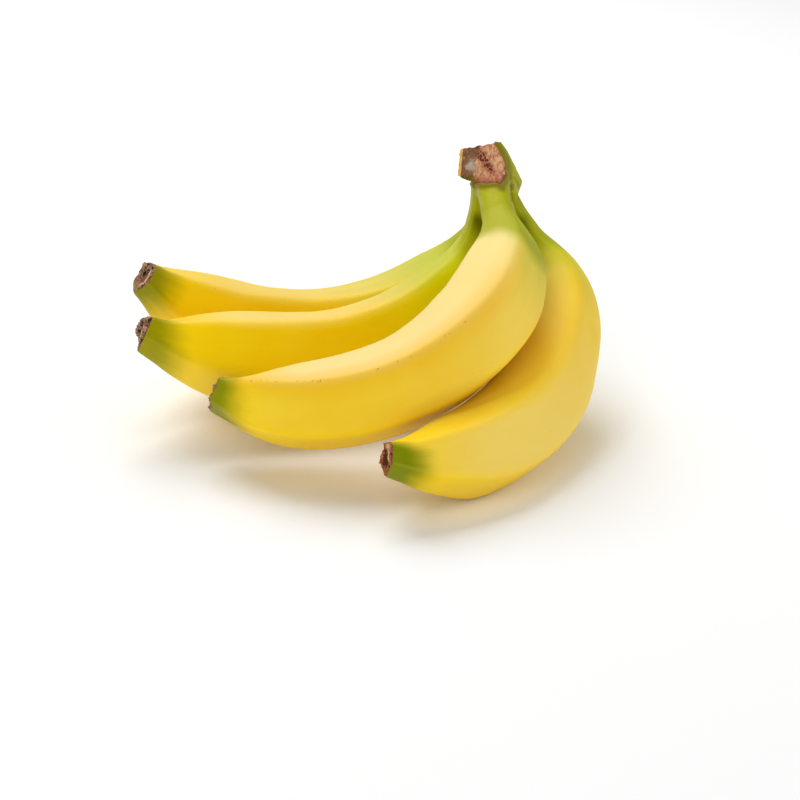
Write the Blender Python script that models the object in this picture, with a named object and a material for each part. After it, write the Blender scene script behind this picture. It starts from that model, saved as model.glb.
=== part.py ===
"""A bunch of four bananas that still hang together at the cut crown.

The crown stands at the empty called bunch. Each finger is a plane curve that leaves the crown along its neck and
then turns towards the rest of the hand; a rounded five-sided section runs along it. The dry remnant of the blossom
closes the free end of each finger. Sizes below are in millimetres and degrees.
"""

import math
from dataclasses import dataclass

import bmesh
import bpy
from mathutils import Euler, Vector

MM = 0.001

# Where the crown stands over the ground, and how the bunch leans on the fingers that carry it.
CROWN_AT = (49.2, 41.0, 88.85)
BUNCH_LEAN = (1.3, 0.0, 0.0)

# A finger's girth along its length: (share of the length, radius). The neck is thin, the belly is full.
GIRTH = (
    (0.00, 7.2), (0.05, 6.4), (0.10, 7.0), (0.145, 9.3), (0.19, 12.3), (0.25, 15.5), (0.36, 18.0),
    (0.52, 19.0), (0.68, 18.4), (0.78, 16.8), (0.86, 13.6), (0.92, 10.2), (0.96, 7.8), (1.00, 6.5),
)
TURN_AT = (0.0, 0.12, 0.25, 0.45, 0.70, 0.88, 1.0)  # shares of the length where the turns below are reached
BODY_AT = (0.0, 0.12, 0.25, 0.40, 0.58, 0.76, 0.90, 1.0)  # where the fullness and the sway are given
RIDGE_AT = (0.0, 0.15, 0.30, 0.50, 0.65, 0.80, 0.92, 1.0)  # where the angle of the first ridge is given
RIDGES = 5
# How squarely the facets meet along the length: (share of the length, power). 2 gives a circle, 20 a pentagon.
CREASE = ((0.00, 4.2), (0.12, 4.8), (0.22, 6.6), (0.40, 8.6), (0.80, 9.0), (0.92, 7.6), (1.00, 6.5))
FRONT_UP = Vector((0.0, -0.906, 0.423))  # to the front and a little up: the sway is square to it
STEPS_ALONG = 34
STEPS_ROUND = 20
WALK = 240  # short straight steps that the centre line is walked in

GAP = 0.32  # clear space between neighbouring pieces
TIP_GAP = 0.55  # from the askew end of the skin to the dry blossom end
STUB = 2.0  # how far the dry blossom end stands beyond the skin
STUB_SHARE = 0.93  # its radius against the finger's rim

PEEL = ((0.86, 0.66, 0.09, 1.0), 0.45)
STALK = ((0.42, 0.40, 0.12, 1.0), 0.60)
DRY = ((0.10, 0.065, 0.035, 1.0), 0.90)

# The crown block: (x, y, z) of its corners about the crown's own origin.
CROWN_CORNERS = (
    (-5.8, 2.4, 13.4), (0.0, 3.1, 14.4), (5.1, -4.3, 3.3), (2.7, -6.5, 0.0), (-2.3, -5.8, 1.0),
    (-7.4, -4.6, 3.0), (-12.4, 7.1, 10.4), (-13.6, 1.8, 1.2), (-11.4, -0.9, 0.5), (3.1, 5.4, 13.8),
    (8.4, 5.0, 3.7), (11.4, 6.0, -3.0), (10.5, 14.0, -12.0), (-8.0, 14.0, 6.0), (6.0, 14.0, 7.5),
    (-5.0, 29.0, -1.0), (8.0, 29.0, -1.0), (-5.0, 31.0, -15.0), (9.0, 31.0, -15.0), (-5.0, 7.0, -9.0),
)


@dataclass(frozen=True)
class Finger:
    """One banana: where its neck starts, which way it leaves, and how it turns."""

    name: str
    root: tuple  # start of the neck about the crown, mm
    heading: float  # 0 points to -X, 90 to -Y
    pitch: float  # -90 points straight down
    roll: float  # which way the curve lies about the neck
    turns: tuple  # degrees turned at TURN_AT
    length: float
    fullness: tuple  # scales the girth, at BODY_AT
    sway: tuple  # sideways shift of the curve, at BODY_AT, mm
    ridges: tuple  # angle of the first ridge at RIDGE_AT, from the inner side of the curve
    crispness: float  # scales the crease power
    short: float  # how far the skin ends before the full length
    askew: float  # tilt of the skin's end
    askew_at: float  # the side on which the skin reaches further
    neck: float = 0.13  # share of the length that belongs to the crown


FINGERS = (
    Finger(
        "back", (2.7, 26.25, -13.87), -23, -70, -22, (0, 8, 35, 69, 99, 112, 122), 190,
        (0.95, 0.95, 0.952, 0.95, 0.964, 0.977, 1.006, 0.99), (0.0, -0.44, -0.78, -1.31, -1.31, -1.01, -0.2, 0.97),
        (346, 346, 346, 348, 346, 338, 342, 350), 1.0, 3.0, 12, -60,
    ),
    Finger(
        "second", (-0.6, 8.2, -5.6), -118, -104, -22, (0, 8, 36, 66, 93, 99, 114), 181,
        (1.065, 1.065, 1.055, 1.057, 1.05, 1.037, 1.065, 1.044), (0.0, 0.45, 0.1, -0.09, -0.07, -0.24, -0.1, -0.22),
        (337, 336, 334, 332, 328, 325, 331, 338), 1.0, 1.6, 17, -45,
    ),
    Finger(
        "middle", (-0.4, -1.0, -2.0), 99, -25, 11, (0, 0, 20, 54, 90, 114, 129), 183,
        (0.965, 0.98, 0.964, 0.945, 0.878, 0.907, 0.986, 0.978), (-0.1, 0.37, 0.08, -1.23, -1.77, -1.13, -0.5, 0.16),
        (240, 240, 246, 255.5, 259, 265, 277, 290), 1.2, 3.8, 20, 160,
    ),
    Finger(
        "front", (3.9, 8.1, -11.2), 140, -45, -40, (0, -1, 34, 60, 87, 106, 120), 183,
        (0.95, 0.95, 0.933, 0.898, 0.906, 0.934, 0.941, 0.91), (0.0, 0.17, -0.28, 0.3, -0.5, -0.8, 0.35, 0.6),
        (285, 284, 279, 279, 283.5, 289, 291, 300), 0.85, 0.8, 17, -115,
    ),
)


def slopes(xs, ys):
    """Slopes at the knots of a curve that never overshoots its knots."""
    steps = [b - a for a, b in zip(xs, xs[1:])]
    rises = [(b - a) / h for a, b, h in zip(ys, ys[1:], steps)]
    found = []
    for i in range(len(xs)):
        if i in (0, len(xs) - 1):
            near, far = (0, 1) if i == 0 else (-1, -2)
            h0, h1, r0, r1 = steps[near], steps[far], rises[near], rises[far]
            slope = ((2 * h0 + h1) * r0 - h0 * r1) / (h0 + h1)
            if slope * r0 <= 0:
                slope = 0.0
            elif r0 * r1 <= 0 and abs(slope) > 3 * abs(r0):
                slope = 3 * r0
        elif rises[i - 1] * rises[i] <= 0:
            slope = 0.0
        else:
            w0, w1 = 2 * steps[i] + steps[i - 1], steps[i] + 2 * steps[i - 1]
            slope = (w0 + w1) / (w0 / rises[i - 1] + w1 / rises[i])
        found.append(slope)
    return found


def smooth(x, xs, ys):
    """The value at x of the smooth curve through the knots."""
    i = max(k for k in range(len(xs) - 1) if k == 0 or x >= xs[k])
    m = slopes(xs, ys)
    h = xs[i + 1] - xs[i]
    t = (x - xs[i]) / h
    return (
        (2 * t**3 - 3 * t**2 + 1) * ys[i] + (t**3 - 2 * t**2 + t) * h * m[i]
        + (3 * t**2 - 2 * t**3) * ys[i + 1] + (t**3 - t**2) * h * m[i + 1]
    )


def ease(low, high, x):
    """0 below low, 1 above high and a smooth step between."""
    t = min(max((x - low) / (high - low), 0.0), 1.0)
    return t * t * (3 - 2 * t)


def section(angle, power):
    """Radius of the rounded five-sided section at an angle from a ridge; its flats touch the unit circle."""
    flats = (angle - (k + 0.5) * math.tau / RIDGES for k in range(RIDGES))
    return sum(max(0.0, math.cos(flat)) ** power for flat in flats) ** (-1 / power)


def mean_section(power):
    return sum(section((i + 0.5) * math.tau / RIDGES / 12, power) for i in range(12)) / 12


class Centreline:
    """The curve that a finger follows, with a frame at every share of its length."""

    def __init__(self, finger):
        self.finger = finger
        heading, pitch = math.radians(finger.heading), math.radians(finger.pitch)
        self.start = Vector((
            -math.cos(heading) * math.cos(pitch), -math.sin(heading) * math.cos(pitch), math.sin(pitch)
        ))
        level = Vector((-1, 0, 0))
        level = (level - level.dot(self.start) * self.start).normalized()
        side = self.start.cross(level)
        roll = math.radians(finger.roll)
        self.inward = math.cos(roll) * level + math.sin(roll) * side
        step = finger.length / WALK
        self.points = [Vector(finger.root)]
        for i in range(WALK):
            self.points.append(self.points[-1] + step * self.direction((i + 0.5) / WALK))

    def turn(self, share):
        return math.radians(smooth(min(max(share, 0.0), 1.0), TURN_AT, self.finger.turns))

    def direction(self, share):
        angle = self.turn(share)
        return math.cos(angle) * self.start + math.sin(angle) * self.inward

    def frame(self, share):
        """Point, direction, inner side and the side across, at a share of the length."""
        held = min(max(share, 0.0), 1.0)
        i = min(int(held * WALK), WALK - 1)
        point = self.points[i].lerp(self.points[i + 1], held * WALK - i)
        along = self.direction(held)
        point = point + (share - held) * self.finger.length * along
        point = point + smooth(held, BODY_AT, self.finger.sway) * along.cross(FRONT_UP).normalized()
        inner = (-math.sin(self.turn(held)) * self.start + math.cos(self.turn(held)) * self.inward)
        return point, along, inner, along.cross(inner)

    def radius(self, share, from_ridge):
        """Radius at an angle from the first ridge, mm."""
        held = min(max(share, 0.0), 1.0)
        finger = self.finger
        power = smooth(held, *zip(*CREASE)) * (1 + (finger.crispness - 1) * ease(0.15, 0.35, held))
        girth = smooth(held, *zip(*GIRTH)) * smooth(held, BODY_AT, finger.fullness)
        return girth * section(from_ridge, power) / mean_section(power)

    def point(self, share, from_ridge, scale=1.0):
        """A point of the skin, metres."""
        centre, _, inner, across = self.frame(share)
        held = min(max(share, 0.0), 1.0)
        angle = from_ridge + math.radians(smooth(held, RIDGE_AT, self.finger.ridges))
        r = self.radius(share, from_ridge) * scale
        return (centre + r * (math.cos(angle) * inner + math.sin(angle) * across)) * MM

    def skin_end(self, from_ridge, more=0.0, scale=1.0):
        """Share of the length at which the skin ends on this side, or stands more mm beyond that."""
        finger = self.finger
        side = from_ridge + math.radians(finger.ridges[-1] - finger.askew_at)
        out = scale * self.radius(1.0, from_ridge) * math.cos(side)
        return 1.0 - (finger.short - out * math.tan(math.radians(finger.askew)) - more) / finger.length

    def ring(self, start, end, share, scale=1.0):
        """Points at a share of the way from a start to an end, which both may differ round the finger."""
        points = []
        for k in range(STEPS_ROUND):
            side = k * math.tau / STEPS_ROUND
            one, two = start(side), end(side)
            points.append(self.point(one + (two - one) * share, side, scale))
        return points


def tube(bm, rings):
    """A closed tube through rings of points, with flat ends."""
    made = [[bm.verts.new(p) for p in ring] for ring in rings]
    for one, two in zip(made, made[1:]):
        for k in range(len(one)):
            n = (k + 1) % len(one)
            bm.faces.new((one[k], one[n], two[n], two[k]))
    bm.faces.new(made[0])
    bm.faces.new(made[-1])
    bmesh.ops.recalc_face_normals(bm, faces=bm.faces)


def material(name, finish):
    colour, roughness = finish
    made = bpy.data.materials.new(name)
    made.use_nodes = True
    shader = made.node_tree.nodes["Principled BSDF"]
    shader.inputs["Base Color"].default_value = colour
    shader.inputs["Roughness"].default_value = roughness
    shader.inputs["Metallic"].default_value = 0.0
    return made


def solid(name, bm, parent, finish=None):
    mesh = bpy.data.meshes.new(name)
    bm.to_mesh(mesh)
    bm.free()
    obj = bpy.data.objects.new(name, mesh)
    bpy.context.scene.collection.objects.link(obj)
    obj.parent = parent
    if finish:
        mesh.materials.append(material(name, finish))
    return obj


def clear():
    for obj in list(bpy.data.objects):
        bpy.data.objects.remove(obj, do_unlink=True)


def shares():
    """Shares of the way, closer together towards both ends."""
    return [0.3 * (1 - math.cos(math.pi * i / STEPS_ALONG)) + 0.4 * i / STEPS_ALONG for i in range(STEPS_ALONG + 1)]


def banana(finger, parent):
    line = Centreline(finger)
    bm = bmesh.new()
    tube(bm, [line.ring(lambda _: finger.neck, line.skin_end, share) for share in shares()])
    return solid("banana_" + finger.name, bm, parent, PEEL)


def remnant(finger, parent):
    """The dry blossom end: a short stub with a worn edge."""
    line = Centreline(finger)
    bm = bmesh.new()
    foot = lambda side: line.skin_end(side, TIP_GAP, STUB_SHARE)
    top = lambda side: line.skin_end(side, STUB, STUB_SHARE)
    worn = ((0.0, 0.96), (0.3, 1.0), (0.75, 0.97), (1.0, 0.84))
    tube(bm, [line.ring(foot, top, share, STUB_SHARE * scale) for share, scale in worn])
    return solid("tip_" + finger.name, bm, parent, DRY)


def stub(finger, parent):
    """The first stretch of a neck, which grows out of the crown."""
    line = Centreline(finger)
    bm = bmesh.new()
    end = finger.neck - GAP / finger.length
    tube(bm, [line.ring(lambda _: 0.0, lambda _: end, i / 6) for i in range(7)])
    return solid("stub_" + finger.name, bm, parent)


def crown(parent):
    """The cut block of stalk joined to the four neck stubs."""
    bm = bmesh.new()
    for corner in CROWN_CORNERS:
        bm.verts.new(Vector(corner) * MM)
    hull = bmesh.ops.convex_hull(bm, input=bm.verts)
    bmesh.ops.delete(bm, geom=hull["geom_interior"], context="VERTS")
    bmesh.ops.bevel(
        bm, geom=[e for e in bm.edges if e.calc_face_angle() > 0.3], offset=1.0 * MM, segments=2, profile=0.5,
        affect="EDGES", clamp_overlap=True,
    )
    block = solid("crown", bm, parent, STALK)
    for finger in FINGERS:
        neck = stub(finger, parent)
        neck.hide_render = True
        neck.hide_viewport = True
        join = block.modifiers.new("join_" + finger.name, "BOOLEAN")
        join.operation = "UNION"
        join.object = neck
        join.solver = "EXACT"
    return block


def settle(obj):
    """Flattens the skin a little where the finger's weight lies on the ground."""
    for vertex in obj.data.vertices:
        place = obj.matrix_world @ vertex.co
        place.z = max(place.z, 0.0)
        vertex.co = obj.matrix_world.inverted() @ place


def main():
    clear()
    bunch = bpy.data.objects.new("bunch", None)
    bpy.context.scene.collection.objects.link(bunch)
    bunch.location = Vector(CROWN_AT) * MM
    bunch.rotation_euler = Euler([math.radians(a) for a in BUNCH_LEAN])
    crown(bunch)
    for finger in FINGERS:
        fruit = banana(finger, bunch)
        remnant(finger, bunch)
        bpy.context.view_layer.update()
        settle(fruit)


main()
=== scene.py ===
"""A bunch of four bananas: fine peel, a worn cut crown and dry blossom ends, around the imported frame."""

import logging
import math
from dataclasses import dataclass
from enum import Enum
from functools import lru_cache
from math import cos, pi, radians, sin, tau
from typing import Iterable, Sequence

import bmesh
import bpy
from mathutils import Euler, Matrix, Vector, noise
from mathutils.kdtree import KDTree


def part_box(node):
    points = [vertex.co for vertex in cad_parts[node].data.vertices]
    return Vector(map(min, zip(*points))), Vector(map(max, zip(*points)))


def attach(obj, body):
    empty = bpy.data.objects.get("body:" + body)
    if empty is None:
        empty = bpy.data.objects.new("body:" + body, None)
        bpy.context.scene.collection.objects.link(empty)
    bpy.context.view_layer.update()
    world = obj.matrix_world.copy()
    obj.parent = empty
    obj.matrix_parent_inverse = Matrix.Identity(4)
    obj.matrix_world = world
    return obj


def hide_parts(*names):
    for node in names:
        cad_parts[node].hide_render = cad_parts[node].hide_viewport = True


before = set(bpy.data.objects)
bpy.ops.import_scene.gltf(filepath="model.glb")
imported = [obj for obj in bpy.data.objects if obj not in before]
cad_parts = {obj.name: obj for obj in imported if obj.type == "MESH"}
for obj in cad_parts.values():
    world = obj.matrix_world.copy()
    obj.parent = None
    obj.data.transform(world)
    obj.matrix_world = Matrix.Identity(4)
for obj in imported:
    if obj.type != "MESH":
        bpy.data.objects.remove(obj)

log = logging.getLogger("bananas")

MM = 0.001
WELD = 0.01 * MM  # distance within which the points of a pole are one
Colour = tuple[float, float, float, float]
Five = tuple[float, float, float, float, float]
Outline = tuple[tuple[float, float], ...]
Corners = tuple[tuple[float, float, float], ...]
Mesh, Vert, Piece = bmesh.types.BMesh, bmesh.types.BMVert, bpy.types.Object

# The crown's own origin, measured from the lowest corner of the crown's box, and the lean of the whole bunch.
ROOTS_IN_CROWN = Vector((13.416, 25.4, 39.541)) * MM
BUNCH_LEAN = Euler((radians(1.3), 0, 0))
# The crown's cut face leans back by 25 degrees: the way it looks and the way up it, before the bunch's lean.
FACE_OUT = Vector((0, -0.91, 0.42))
FACE_UP_Y, FACE_UP_Z = 0.4226, 0.9063
OFF_CUT = 9  # mm from the cut that stands for a side that isn't cut at all
LAMPS_FACE = Vector((0, 0, 0.04))

# Girth of a finger along its length: (share of the length, radius in mm).
GIRTH = (
    (0, 7.2), (0.05, 6.4), (0.1, 7), (0.145, 9.3), (0.19, 12.3), (0.25, 15.5), (0.36, 18),
    (0.52, 19), (0.68, 18.4), (0.78, 16.8), (0.86, 13.6), (0.92, 10.2), (0.96, 7.8), (1, 6.5),
)
# Shares of the length at which the sizes of each finger are given.
TURN_AT = (0, 0.12, 0.25, 0.45, 0.7, 0.88, 1)
BODY_AT = (0, 0.12, 0.25, 0.4, 0.58, 0.76, 0.9, 1)
RIDGE_AT = (0, 0.15, 0.3, 0.5, 0.65, 0.8, 0.92, 1)
RIDGES = 5
WALK = 240  # steps along a finger's curve

# How sharply the facets meet along the length: (share of the length, power).
CREASE = ((0, 4.2), (0.12, 4.8), (0.22, 6.6), (0.4, 8.6), (0.8, 9), (0.92, 7.6), (1, 6.5))
RIB, RIB_WIDTH = 0.22, 1.3  # mm that a ridge stands above its facets, and over what width
SPUR_WIDTH = 0.45  # radians over which a spur of skin falls off
BODY_NEAR = 0.32  # share of the length below which the necks lie side by side


def linear(red: int, green: int, blue: int) -> Colour:
    """Turn a colour as it looks on a screen, 0 to 255, into the linear values that a shader takes.

    Args:
        red: red share.
        green: green share.
        blue: blue share.

    Returns:
        The linear colour with full alpha.
    """
    shares = [c / 255 for c in (red, green, blue)]
    lit = [c / 12.92 if c <= 0.04045 else ((c + 0.055) / 1.055) ** 2.4 for c in shares]
    return (*lit, 1)


def ease(low: float, high: float, value: float) -> float:
    """Return 0 below low, 1 above high and a smooth step between them."""
    t = min(max((value - low) / (high - low), 0), 1)
    return t * t * (3 - 2 * t)


def bell(centre: float, width: float, value: float) -> float:
    """Return a smooth bump of height 1 at centre that falls off over width."""
    return math.exp(-(((value - centre) / width) ** 2))


def towards(angle: float, side: float) -> float:
    """Return how far an angle in radians lies towards a side in degrees, from -1 to 1."""
    return cos(angle - radians(side))


class Knots:
    """A smooth curve through knots that never overshoots them."""

    def __init__(self, xs: Sequence[float], ys: Sequence[float]) -> None:
        """Keep the knots and work out the slope at each.

        Args:
            xs: rising places of the knots.
            ys: their values.
        """
        self.xs, self.ys = xs, ys
        self.steps = [after - before for before, after in zip(xs, xs[1:])]
        self.rises = [(after - before) / step for before, after, step in zip(ys, ys[1:], self.steps)]
        self.slopes = [self._slope(i) for i in range(len(xs))]

    def _slope(self, i: int) -> float:
        """Return the slope at knot i.

        Args:
            i: number of the knot.

        Returns:
            The slope, which is 0 where the curve turns back.
        """
        h, r, last = self.steps, self.rises, len(self.steps) - 1
        if 0 < i <= last:
            if r[i - 1] * r[i] <= 0:
                return 0
            w0, w1 = 2 * h[i] + h[i - 1], h[i] + 2 * h[i - 1]
            return (w0 + w1) / (w0 / r[i - 1] + w1 / r[i])
        end, next_in = (0, 1) if i == 0 else (last, last - 1)
        slope = ((2 * h[end] + h[next_in]) * r[end] - h[end] * r[next_in]) / (h[end] + h[next_in])
        if slope * r[end] <= 0:
            return 0
        return 3 * r[end] if r[end] * r[next_in] <= 0 and abs(slope) > 3 * abs(r[end]) else slope

    def at(self, x: float) -> float:
        """Return the value of the curve at x."""
        x = min(max(x, self.xs[0]), self.xs[-1])
        i = max(k for k in range(len(self.xs) - 1) if k == 0 or x >= self.xs[k])
        h = self.xs[i + 1] - self.xs[i]
        t = (x - self.xs[i]) / h
        return (
            (2 * t**3 - 3 * t**2 + 1) * self.ys[i] + (t**3 - 2 * t**2 + t) * h * self.slopes[i]
            + (3 * t**2 - 2 * t**3) * self.ys[i + 1] + (t**3 - t**2) * h * self.slopes[i + 1]
        )


FRONT_UP = Vector((0, -0.906, 0.423))  # to the front and a little up: the sway is square to it
GIRTH_CURVE = Knots(*zip(*GIRTH))
CREASE_CURVE = Knots(*zip(*CREASE))


def facets(angle: float, first: float, power: float) -> float:
    """Return the radius of a rounded five-sided section whose flats touch the unit circle.

    Args:
        angle: where round the section, in radians.
        first: where the first ridge stands, in radians.
        power: how sharply the flats meet.

    Returns:
        The radius, 1 on the flats and more on the ridges.
    """
    flats = (angle - first - (k + 0.5) * tau / RIDGES for k in range(RIDGES))
    return sum(max(0, cos(flat)) ** power for flat in flats) ** (-1 / power)


@lru_cache(maxsize=4096)
def mean_facets(power: float) -> float:
    """Return the mean radius of the rounded five-sided section."""
    steps = 12
    return sum(facets((i + 0.5) * tau / RIDGES / steps, 0, power) for i in range(steps)) / steps


def on_facets(values: Sequence[float], turn: float, blend: float) -> float:
    """Return a value that changes from facet to facet, blended over the ridges.

    Args:
        values: one value for each facet.
        turn: where round the section, in facets from the first ridge.
        blend: how wide the blend is on each side of a ridge, in facets.

    Returns:
        The value there.
    """
    facet, part = int(turn) % RIDGES, turn - math.floor(turn)
    beside = values[facet - 1] if part < 0.5 else values[(facet + 1) % RIDGES]
    share = 0.5 * (1 - ease(0, blend, min(part, 1 - part)))
    return values[facet] * (1 - share) + beside * share


@dataclass(frozen=True)
class Tone:
    """How ripe a finger is on each of its five facets, counted from the first ridge.

    The painted sheen is a pale veil painted on the upward facets, near the stalk and near the tip. Young skin
    turns ripe about young_at, the deep green of the stalk ends at stem_at, and the green of the tip, as deep as
    depth, starts at tip_from. The first ridge is warmer by warm, the folds against other fingers get painted
    shade as deep as shade, and the painted shade in the crease beside the neck ends at crease_to.
    """

    # painted sheen: how pale each facet is painted, near the stalk and further out
    bloom_near: Five
    bloom_far: Five
    young_at: Five
    stem_at: Five
    tip_from: Five
    depth: float
    warm: float
    shade: float = 0
    crease_to: float = BODY_NEAR


@dataclass(frozen=True)
class FingerShape:
    """Sizes of one finger, in mm and degrees, about the crown's origin.

    The turns are reached at TURN_AT. The fullness scales the girth and the sway shifts the curve to its side,
    both at BODY_AT. The first ridge stands at the given angles at RIDGE_AT, counted from the inner side. The
    skin ends before the full length by the remnant, on a plane that is askew: it reaches further on the side
    askew_at, and a narrow spur may reach further still. Near that rim the skin is scarred over the width worn.
    """

    name: str
    root: tuple[float, float, float]
    heading: float
    pitch: float
    roll: float
    turns: tuple[float, ...]
    length: float
    fullness: tuple[float, ...]
    sway: tuple[float, ...]
    ridges: tuple[float, ...]
    tone: Tone
    seed: float
    remnant: float
    askew: float
    askew_at: float
    crispness: float = 1
    spur: float = 0
    spur_at: float = 0
    worn: float = 1.5


BACK = FingerShape(
    "back", (2.7, 26.25, -13.87), -23, -70, -22, (0, 8, 35, 69, 99, 112, 122), 190,
    (0.95, 0.95, 0.952, 0.95, 0.964, 0.977, 1.006, 0.99), (0, -0.44, -0.78, -1.31, -1.31, -1.01, -0.2, 0.97),
    (346, 346, 346, 348, 346, 338, 342, 350),
    Tone(
        (0.55, 0.5, 0, 0.1, 0), (0.45, 0.4, 0, 0.2, 0), (0.5, 0.5, 0.45, 0.45, 0.42),
        (0.17,) * 5, (0.935, 0.915, 0.905, 0.9, 0.908), depth=0.92, warm=0.3,
    ), seed=3.1, remnant=2.1, askew=13, askew_at=-75,
)
SECOND = FingerShape(
    "second", (-0.6, 8.2, -5.6), -118, -104, -22, (0, 8, 36, 66, 93, 99, 114), 181,
    (1.065, 1.065, 1.055, 1.057, 1.05, 1.037, 1.065, 1.044), (0, 0.45, 0.1, -0.09, -0.07, -0.24, -0.1, -0.22),
    (337, 336, 334, 332, 328, 325, 331, 338),
    Tone(
        (0.42, 0.4, 0, 0.1, 0), (0.62, 0.4, 0, 0.15, 0), (0.46, 0.45, 0.45, 0.42, 0.5),
        (0.13, 0.13, 0.2, 0.2, 0.19), (0.935, 0.915, 0.895, 0.897, 0.913), depth=0.85, warm=0.2,
    ), seed=7.7, remnant=0.5, askew=15, askew_at=-75,
)
MIDDLE = FingerShape(
    "middle", (-0.4, -1, -2), 99, -25, 11, (0, 0, 20, 54, 90, 114, 129), 183,
    (0.965, 0.98, 0.964, 0.945, 0.878, 0.907, 0.986, 0.978),
    (-0.1, 0.37, 0.08, -1.23, -1.77, -1.13, -0.5, 0.16),
    (240, 240, 246, 255.5, 259, 265, 277, 290),
    Tone(
        (1, 0.9, 0, 0, 0.45), (1, 0.7, 0, 0, 0.12), (0.2, 0.2, 0.2, 0.25, 0.34),
        (0.19, 0.19, 0.205, 0.246, 0.238), (0.925, 0.895, 0.9, 0.895, 0.89), depth=0.95, warm=1, shade=0.3,
    ), seed=12.9, remnant=4.3, askew=5, askew_at=230,
    crispness=1.2, spur=2.8, spur_at=148, worn=3,
)
FRONT = FingerShape(
    "front", (3.9, 8.1, -11.2), 140, -45, -40, (0, -1, 34, 60, 87, 106, 120), 183,
    (0.95, 0.95, 0.933, 0.898, 0.906, 0.934, 0.941, 0.91), (0, 0.17, -0.28, 0.3, -0.5, -0.8, 0.35, 0.6),
    (285, 284, 279, 279, 283.5, 289, 291, 300),
    Tone(
        (0.3, 0.6, 0, 0.1, 0.1), (0.12, 0.2, 0, 0.1, 0.5), (0.24, 0.24, 0.25, 0.25, 0.275),
        (0.13, 0.11, 0.2, 0.2, 0.15), (0.985, 0.95, 0.91, 0.912, 0.918), depth=1, warm=0.1, shade=0.3,
        crease_to=0.23,
    ), seed=21.4, remnant=0.8, askew=17, askew_at=-115,
    crispness=0.85,
)
FINGERS = (BACK, SECOND, MIDDLE, FRONT)


class FingerPath:
    """The curve that a finger follows, in metres in the frame, with its five-sided section."""

    def __init__(self, shape: FingerShape) -> None:
        """Walk the curve from the root.

        Args:
            shape: the finger's sizes.
        """
        self.shape = shape
        low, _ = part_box("crown")
        self.place = Matrix.Translation(low + ROOTS_IN_CROWN) @ BUNCH_LEAN.to_matrix().to_4x4()
        heading, pitch, roll = (radians(a) for a in (shape.heading, shape.pitch, shape.roll))
        self.start = Vector((
            -cos(heading) * cos(pitch), -sin(heading) * cos(pitch), sin(pitch)
        ))
        level = Vector((-1, 0, 0))
        level = (level - level.dot(self.start) * self.start).normalized()
        self.inward = cos(roll) * level + sin(roll) * self.start.cross(level)
        self.turning = Knots(TURN_AT, shape.turns)
        self.ridging = Knots(RIDGE_AT, shape.ridges)
        self.filling = Knots(BODY_AT, shape.fullness)
        self.swaying = Knots(BODY_AT, shape.sway)
        step = shape.length / WALK
        self.points = [Vector(shape.root)]
        for i in range(WALK):
            self.points.append(self.points[-1] + step * self.direction((i + 0.5) / WALK))

    def direction(self, share: float) -> Vector:
        """Return the way the finger points at a share of its length, before the lean."""
        angle = radians(self.turning.at(share))
        return cos(angle) * self.start + sin(angle) * self.inward

    def axes(self, share: float) -> tuple[Vector, Vector, Vector, Vector]:
        """Return the centre in mm, the direction, the inner side and the side across at a share."""
        held = min(max(share, 0), 1)
        i = min(int(held * WALK), WALK - 1)
        centre = self.points[i].lerp(self.points[i + 1], held * WALK - i)
        along = self.direction(held)
        centre = centre + (share - held) * self.shape.length * along
        centre = centre + self.swaying.at(held) * along.cross(FRONT_UP).normalized()
        angle = radians(self.turning.at(held))
        inner = -sin(angle) * self.start + cos(angle) * self.inward
        return centre, along, inner, along.cross(inner)

    def turn(self, share: float, angle: float) -> float:
        """Return where round the section an angle lies, in facets from the first ridge."""
        return (angle - radians(self.ridging.at(share))) % tau / (tau / RIDGES)

    def ridge_offset(self, share: float, angle: float) -> float:
        """Return the angle to the nearest ridge as a share of half a facet: 0 on a ridge, 1 in mid facet."""
        part = self.turn(share, angle) % 1
        return 2 * min(part, 1 - part)

    def radius(self, share: float, angle: float) -> float:
        """Return the section's radius.

        Args:
            share: share of the length.
            angle: angle from the inner side, in radians.

        Returns:
            The radius in mm.
        """
        power = round(CREASE_CURVE.at(share) * (1 + (self.shape.crispness - 1) * ease(0.15, 0.35, share)), 2)
        first = radians(self.ridging.at(share))
        girth = GIRTH_CURVE.at(share) * self.filling.at(share)
        offset = self.ridge_offset(share, angle) * pi / RIDGES * girth
        rib = RIB * ease(0.08, 0.2, share) * self.shape.crispness * bell(0, RIB_WIDTH, offset)
        return girth * facets(angle, first, power) / mean_facets(power) + rib

    def skin_end(self, angle: float) -> float:
        """Return the share of the length at which the skin ends on this side."""
        shape = self.shape
        lean = math.tan(radians(shape.askew)) * towards(angle, shape.askew_at)
        aside = (angle - radians(shape.spur_at) + pi) % tau - pi
        spur = shape.spur * bell(0, SPUR_WIDTH, aside)
        return 1 - (shape.remnant - self.radius(1, angle) * lean - spur) / shape.length

    def point(self, share: float, angle: float, radius: float) -> Vector:
        """Return the frame's point at a share, an angle and a radius in mm."""
        centre, _, inner, across = self.axes(share)
        local = centre + radius * (cos(angle) * inner + sin(angle) * across)
        return self.place @ (local * MM)


Spot = tuple[FingerPath, float]


def straight_tube(around: int, along: int) -> Mesh:
    """Make a straight open tube of radius 1 and length 1 along Z.

    Args:
        around: faces round the tube.
        along: faces along it.

    Returns:
        The tube, with its middle at the origin.
    """
    bm = bmesh.new()
    bmesh.ops.create_cone(bm, cap_ends=False, segments=around, radius1=1, radius2=1, depth=1)
    long_edges = [e for e in bm.edges if abs(e.verts[0].co.z - e.verts[1].co.z) > 0.5]
    bmesh.ops.subdivide_edges(bm, edges=long_edges, cuts=along - 1)
    return bm


def close_ends(bm: Mesh) -> None:
    """Cap the open rings and point all faces outwards."""
    bmesh.ops.holes_fill(bm, edges=[e for e in bm.edges if e.is_boundary], sides=0)
    bmesh.ops.recalc_face_normals(bm, faces=bm.faces)


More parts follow.
